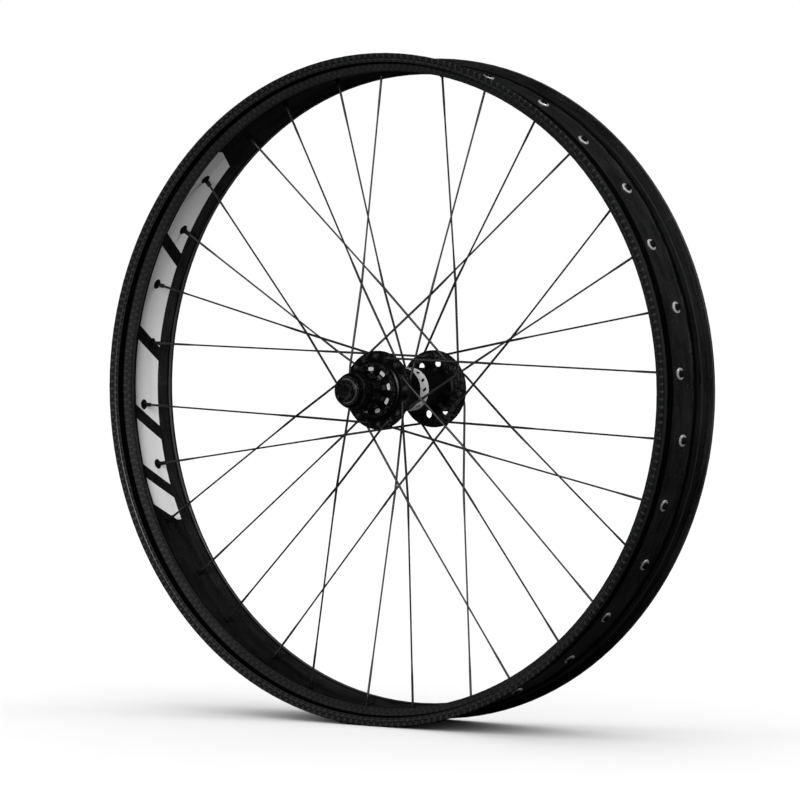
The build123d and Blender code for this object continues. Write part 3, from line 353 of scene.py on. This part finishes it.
def coated_spoke():
    """Black coated steel wire: drawn lines, bright where the coat is rubbed, with a faint painted
    highlight on the heads.
    """
    s = Sheet("coated_spoke")
    grain = s.noise(0.6 * MM)
    patches = s.noise(14 * MM)
    worn = s.step(s.noise(1.8 * MM), 0.66, 0.75)
    # The heads sit at the flanges; the stamping leaves their crowns a little duller, and their
    # colour is tinted slightly towards bare metal as a faint painted highlight.
    head = 1.0 - s.past(s.radius, HEAD_RADIUS, 0.4 * MM)
    color = s.blend(patches, grey(0.006), grey(0.02))
    color = s.blend(s.clamp(worn * 0.12 + head * 0.02), color, BARE_METAL)
    rough = 0.3 + grain * 0.12 + patches * 0.1
    shine = s.mix(head, 0.35, 0.15)
    return s.finish(color, rough, grain * (0.01 * MM), metallic=0.1, Specular_IOR_Level=shine)


def black_nipple():
    """Black anodised nipple, rubbed along the edges that a spoke key touches."""
    s = Sheet("black_nipple")
    grain = s.noise(0.5 * MM)
    patches = s.noise(4 * MM)
    rub = s.clamp(s.edges() * s.step(s.noise(1.2 * MM), 0.4, 0.6))
    color = s.blend(patches, grey(0.0008), grey(0.003))
    color = s.blend(rub * 0.06, color, BARE_METAL)
    shine = 0.03 + patches * 0.06
    rough = 0.32 + grain * 0.14
    return s.finish(color, rough, grain * (0.008 * MM), Specular_IOR_Level=shine)


def bright_steel(name, low, high, roughness, metal=1.0):
    """Ground or stamped steel: fine scratches, cloudy tone, brighter edges."""
    s = Sheet(name)
    scratch = s.noise(0.3 * MM, s.stretch(1, 9, 1))
    cloud = s.noise(3 * MM)
    tone = s.clamp(cloud * 0.7 + scratch * 0.35)
    color = s.blend(tone, grey(low, -0.02), grey(high, 0.01))
    color = s.blend(s.edges() * 0.5, color, grey(min(1.0, high * 1.3)))
    rough = roughness + scratch * 0.16 + cloud * 0.06
    return s.finish(color, rough, scratch * (0.008 * MM), metallic=metal)


def turned_black(name, low, high, roughness):
    """Black anodised aluminium with turning marks, bare along rubbed edges.

    Returns the open sheet with its colour, roughness and height.
    """
    s = Sheet(name)
    marks = s.noise(0.35 * MM, s.point(s.turn * 0.002, s.y, s.radius), detail=4.0)
    cloud = s.noise(9 * MM)
    dust = s.noise(0.8 * MM)
    rub = s.clamp(s.edges() * s.step(s.noise(2.2 * MM), 0.42, 0.62))
    color = s.blend(s.clamp(marks * 0.6 + cloud * 0.5), grey(low), grey(high, 0.04))
    color = s.blend(rub * 0.08, color, BARE_METAL)
    rough = roughness + marks * 0.08 + dust * 0.06
    height = marks * (0.014 * MM) + dust * (0.003 * MM)
    return s, color, rough, height


def hub_shell_black():
    """The shell's anodising, a little glossier than the caps'."""
    s, color, rough, height = turned_black("hub_shell_black", 0.0003, 0.0018, 0.19)
    return s.finish(color, rough, height, broken_edge=EDGE_BREAK, Specular_IOR_Level=SHELL_SHINE)


def cap_black():
    """The end caps' anodising."""
    s, color, rough, height = turned_black("cap_black", 0.0003, 0.0015, 0.18)
    return s.finish(color, rough, height, broken_edge=EDGE_BREAK, Specular_IOR_Level=BLACK_SHINE)


# The floors of the driver's milled pockets: their radii, and their place along the axle.
POCKET_RADII = (16.25 * MM, 20.15 * MM)
POCKET_FLOOR_Y = (-43.7 * MM, -43.5 * MM)


def driver_black():
    """As the hub, but the floors of the milled pockets are bare bright metal."""
    s, color, rough, height = turned_black("driver_black", 0.0003, 0.002, 0.2)
    in_ring = s.between(s.radius, *POCKET_RADII, 0.05 * MM)
    bare = s.clamp(in_ring * s.between(s.y, *POCKET_FLOOR_Y, 0.05 * MM))
    cutter = s.noise(0.4 * MM, s.stretch(6, 1, 1))
    color = s.blend(bare, color, s.blend(cutter, grey(0.6), grey(0.85)))
    rough = s.mix(bare, rough, 0.34 + cutter * 0.15)
    shine = s.mix(bare, BLACK_SHINE, BARE_SHINE)
    return s.finish(
        color, rough, height, metallic=bare * 0.6, broken_edge=EDGE_BREAK, Specular_IOR_Level=shine
    )


def band_print():
    """Pale print on the shell, faintly clouded."""
    s = Sheet("band_print")
    cloud = s.noise(5 * MM)
    speck = s.noise(0.5 * MM)
    color = s.blend(s.clamp(cloud * 0.6 + speck * 0.3), grey(0.75), grey(0.92))
    return s.finish(color, 0.4 + speck * 0.2, speck * (0.004 * MM))


def rubber():
    """Black rubber with a fine grain and a bloom of dust."""
    s = Sheet("seal_rubber")
    grain = s.noise(0.25 * MM)
    dust = s.noise(2.5 * MM)
    color = s.blend(dust, grey(0.012), grey(0.035, -0.02))
    return s.finish(color, 0.62 + dust * 0.2, grain * (0.012 * MM))


CAGE_DARK = (0.05, 0.035, 0.02, 1)
CAGE_LIGHT = (0.12, 0.09, 0.05, 1)


def moulded_cage():
    """Brown polymer of the bearing cages."""
    s = Sheet("moulded_cage")
    grain = s.noise(0.3 * MM)
    cloud = s.noise(2 * MM)
    color = s.blend(cloud, CAGE_DARK, CAGE_LIGHT)
    return s.finish(color, 0.45 + grain * 0.15, grain * (0.01 * MM))


def turned_metal(name, low, high):
    """Bare turned aluminium with rings round the axle."""
    s = Sheet(name)
    rings = s.noise(0.3 * MM, s.point(s.turn * 0.002, s.y, s.radius), detail=4.0)
    cloud = s.noise(6 * MM)
    color = s.blend(s.clamp(rings * 0.6 + cloud * 0.4), grey(low), grey(high))
    return s.finish(color, 0.26 + rings * 0.2, rings * (0.012 * MM), metallic=1.0)


LOOKS = {
    "rim_carbon": woven_carbon(),
    "graphic_film": graphic_film(),
    "nipple_black": black_nipple(),
    "washer_steel": bright_steel("washer_steel", 0.4, 0.66, roughness=0.26, metal=0.6),
    "spoke_black": coated_spoke(),
    "shell_anodised": hub_shell_black(),
    "band_print": band_print(),
    "hardened_steel": bright_steel("hardened_steel", 0.2, 0.38, roughness=0.3),
    "driver_anodised": driver_black(),
    "spring_steel": bright_steel("spring_steel", 0.25, 0.42, roughness=0.3),
    "axle_aluminium": turned_metal("axle_aluminium", 0.25, 0.42),
    "cap_anodised": cap_black(),
    "spacer_aluminium": turned_metal("spacer_aluminium", 0.4, 0.55),
    "bearing_steel": bright_steel("bearing_steel", 0.5, 0.7, roughness=0.16),
    "cage_polymer": moulded_cage(),
    "seal_rubber": rubber(),
}

for subpart in frame["record"]["subparts"]:
    piece = nodes[subpart["node"]]
    piece.data.materials.clear()
    piece.data.materials.append(LOOKS[subpart["material_slot"]])


# ======================================================================
# Studio: a wide pale floor that runs into a white surround, and soft lights
# ======================================================================
VIEW_AZIMUTH = math.radians(34.48)
VIEW_ELEVATION = math.radians(1.15)
VIEW_DISTANCE = 3.2733
VIEW_SHIFT_RIGHT = 0.58 * MM
VIEW_SHIFT_UP = 8.91 * MM
LENS = 172.2
SENSOR_WIDTH = 36.0

# The paper's rings are narrow at the wheel and widen outwards by this power.
FLOOR_Z = cad_box[0][2]
FLOOR_RADIUS = 60.0
FLOOR_RINGS = 12
FLOOR_SECTORS = 48
RING_GROWTH = 3

# The black parts mirror a dimmer floor and surround than the camera sees, as under a lamp's flag.
REFLECTED_FLOOR = 0.05
SURROUND_LIGHT = 0.05
# The floor is only just white: thin wires fade against an over-bright one.
FLOOR_LIGHT = 3.7
FLOOR_LIGHT_HEIGHT = 3.0
FLOOR_LIGHT_SPREAD = math.radians(150)
KEY_AZIMUTH = math.radians(14.0)
KEY_ELEVATION = math.radians(14.0)
BIG_BOX_DISTANCE = 3.4
BIG_BOX_SIZE = (0.9, 1.6)
BIG_BOX_POWER = 130


def direction(azimuth, elevation):
    """Unit vector from the hub to a viewer; azimuth 0 is on the drive side."""
    return Vector(
        (
            math.sin(azimuth) * math.cos(elevation),
            -math.cos(azimuth) * math.cos(elevation),
            math.sin(elevation),
        )
    )


back = direction(VIEW_AZIMUTH, VIEW_ELEVATION)
right = Vector((math.cos(VIEW_AZIMUTH), math.sin(VIEW_AZIMUTH), 0))
up = back.cross(right)

key_place = direction(KEY_AZIMUTH, KEY_ELEVATION) * BIG_BOX_DISTANCE
# Opposite the camera, so it lights mostly the sides that the camera can't see.
rear_place = back * -BIG_BOX_DISTANCE + up * 0.6

# Each softbox: its name, place, size across and up, and watts. All point at the hub.
SOFTBOXES = (
    ("key_softbox", key_place, BIG_BOX_SIZE, BIG_BOX_POWER),
    ("top_softbox", Vector((0.3, 0.0, 2.4)), (1.2, 2.0), 12),
    ("right_softbox", back * 0.8 + right * 2.6 + up * 0.5, (0.5, 2.0), 18),
    ("corner_softbox", back * 0.9 + right * 1.7 + up * 1.9, (0.3, 0.9), 26),
    ("rear_softbox", rear_place, BIG_BOX_SIZE, BIG_BOX_POWER),
)


def seen_by_camera(tree):
    """1 for rays from the camera, 0 for light and reflections."""
    return tree.nodes.new("ShaderNodeLightPath").outputs["Is Camera Ray"]


def floor_paper():
    """Pale paper with a faint tooth."""
    s = Sheet("floor_paper")
    camera_ray = Value(s, seen_by_camera(s.tree))
    pale = s.blend(s.noise(60 * MM), grey(0.86), grey(0.88))
    color = s.blend(camera_ray, grey(REFLECTED_FLOOR), pale)
    return s.finish(color, 0.95, s.noise(4 * MM) * (0.02 * MM))


def floor():
    """A round sheet of paper, finely divided near the wheel."""
    points = [(0.0, 0.0, FLOOR_Z)]
    for ring in range(1, FLOOR_RINGS + 1):
        reach = FLOOR_RADIUS * (ring / FLOOR_RINGS) ** RING_GROWTH
        for i in range(FLOOR_SECTORS):
            angle = 2 * math.pi * i / FLOOR_SECTORS
            points.append((reach * math.cos(angle), reach * math.sin(angle), FLOOR_Z))
    faces = []
    for i in range(FLOOR_SECTORS):
        after = (i + 1) % FLOOR_SECTORS
        faces.append((0, 1 + i, 1 + after))
        for ring in range(FLOOR_RINGS - 1):
            low = 1 + ring * FLOOR_SECTORS
            high = low + FLOOR_SECTORS
            faces.append((low + i, high + i, high + after, low + after))
    mesh = bpy.data.meshes.new("floor")
    mesh.from_pydata(points, [], faces)
    mesh.materials.append(floor_paper())
    sheet = bpy.data.objects.new("floor", mesh)
    bpy.context.scene.collection.objects.link(sheet)
    return sheet


def aimed_light(name, kind, place, power):
    """A light that points from its place at the hub."""
    data = bpy.data.lights.new(name, kind)
    data.energy = power
    light = bpy.data.objects.new(name, data)
    light.location = place
    light.rotation_euler = (-place).to_track_quat("-Z", "Y").to_euler()
    bpy.context.scene.collection.objects.link(light)
    return light


def only(sheet, name):
    """A collection that holds the sheet, for lights to name."""
    group = bpy.data.collections.new(name)
    group.objects.link(sheet)
    return group


def light_floor(sheet):
    """The floor has its own broad light, so it stays white without greying the wheel."""
    sky = aimed_light("floor_light", "SUN", Vector((0, 0, FLOOR_LIGHT_HEIGHT)), FLOOR_LIGHT)
    sky.data.angle = FLOOR_LIGHT_SPREAD
    sky.light_linking.receiver_collection = only(sheet, "floor_only")


def light_wheel(sheet):
    """The softboxes light everything but the floor."""
    all_but_floor = only(sheet, "all_but_floor")
    all_but_floor.collection_objects[0].light_linking.link_state = "EXCLUDE"
    for name, place, size, power in SOFTBOXES:
        softbox = aimed_light(name, "AREA", place, power)
        softbox.data.shape = "RECTANGLE"
        softbox.data.size, softbox.data.size_y = size
        softbox.light_linking.receiver_collection = all_but_floor
    # This last one is behind the wires, where its reflection would cut them up.
    softbox.visible_glossy = False
    softbox.visible_camera = False


def surround():
    """A world that is white to the camera and dim to everything else."""
    world = bpy.data.worlds.new("studio")
    world.use_nodes = True
    tree = world.node_tree
    backdrop = tree.nodes["Background"]
    backdrop.inputs["Color"].default_value = grey(1.0)
    brightness = tree.nodes.new("ShaderNodeMapRange")
    brightness.inputs["To Min"].default_value = SURROUND_LIGHT
    brightness.inputs["To Max"].default_value = 1.0
    tree.links.new(seen_by_camera(tree), brightness.inputs["Value"])
    tree.links.new(brightness.outputs["Result"], backdrop.inputs["Strength"])
    return world


paper = floor()
light_floor(paper)
light_wheel(paper)
bpy.context.scene.world = surround()
bpy.context.scene.view_settings.view_transform = "Standard"


# ======================================================================
# Camera
# ======================================================================
camera_data = bpy.data.cameras.new("camera")
camera_data.lens = LENS
camera_data.sensor_width = SENSOR_WIDTH
camera = bpy.data.objects.new("camera", camera_data)
camera.location = back * VIEW_DISTANCE - right * VIEW_SHIFT_RIGHT - up * VIEW_SHIFT_UP
camera.rotation_euler = back.to_track_quat("Z", "Y").to_euler()
bpy.context.scene.collection.objects.link(camera)
bpy.context.scene.camera = camera
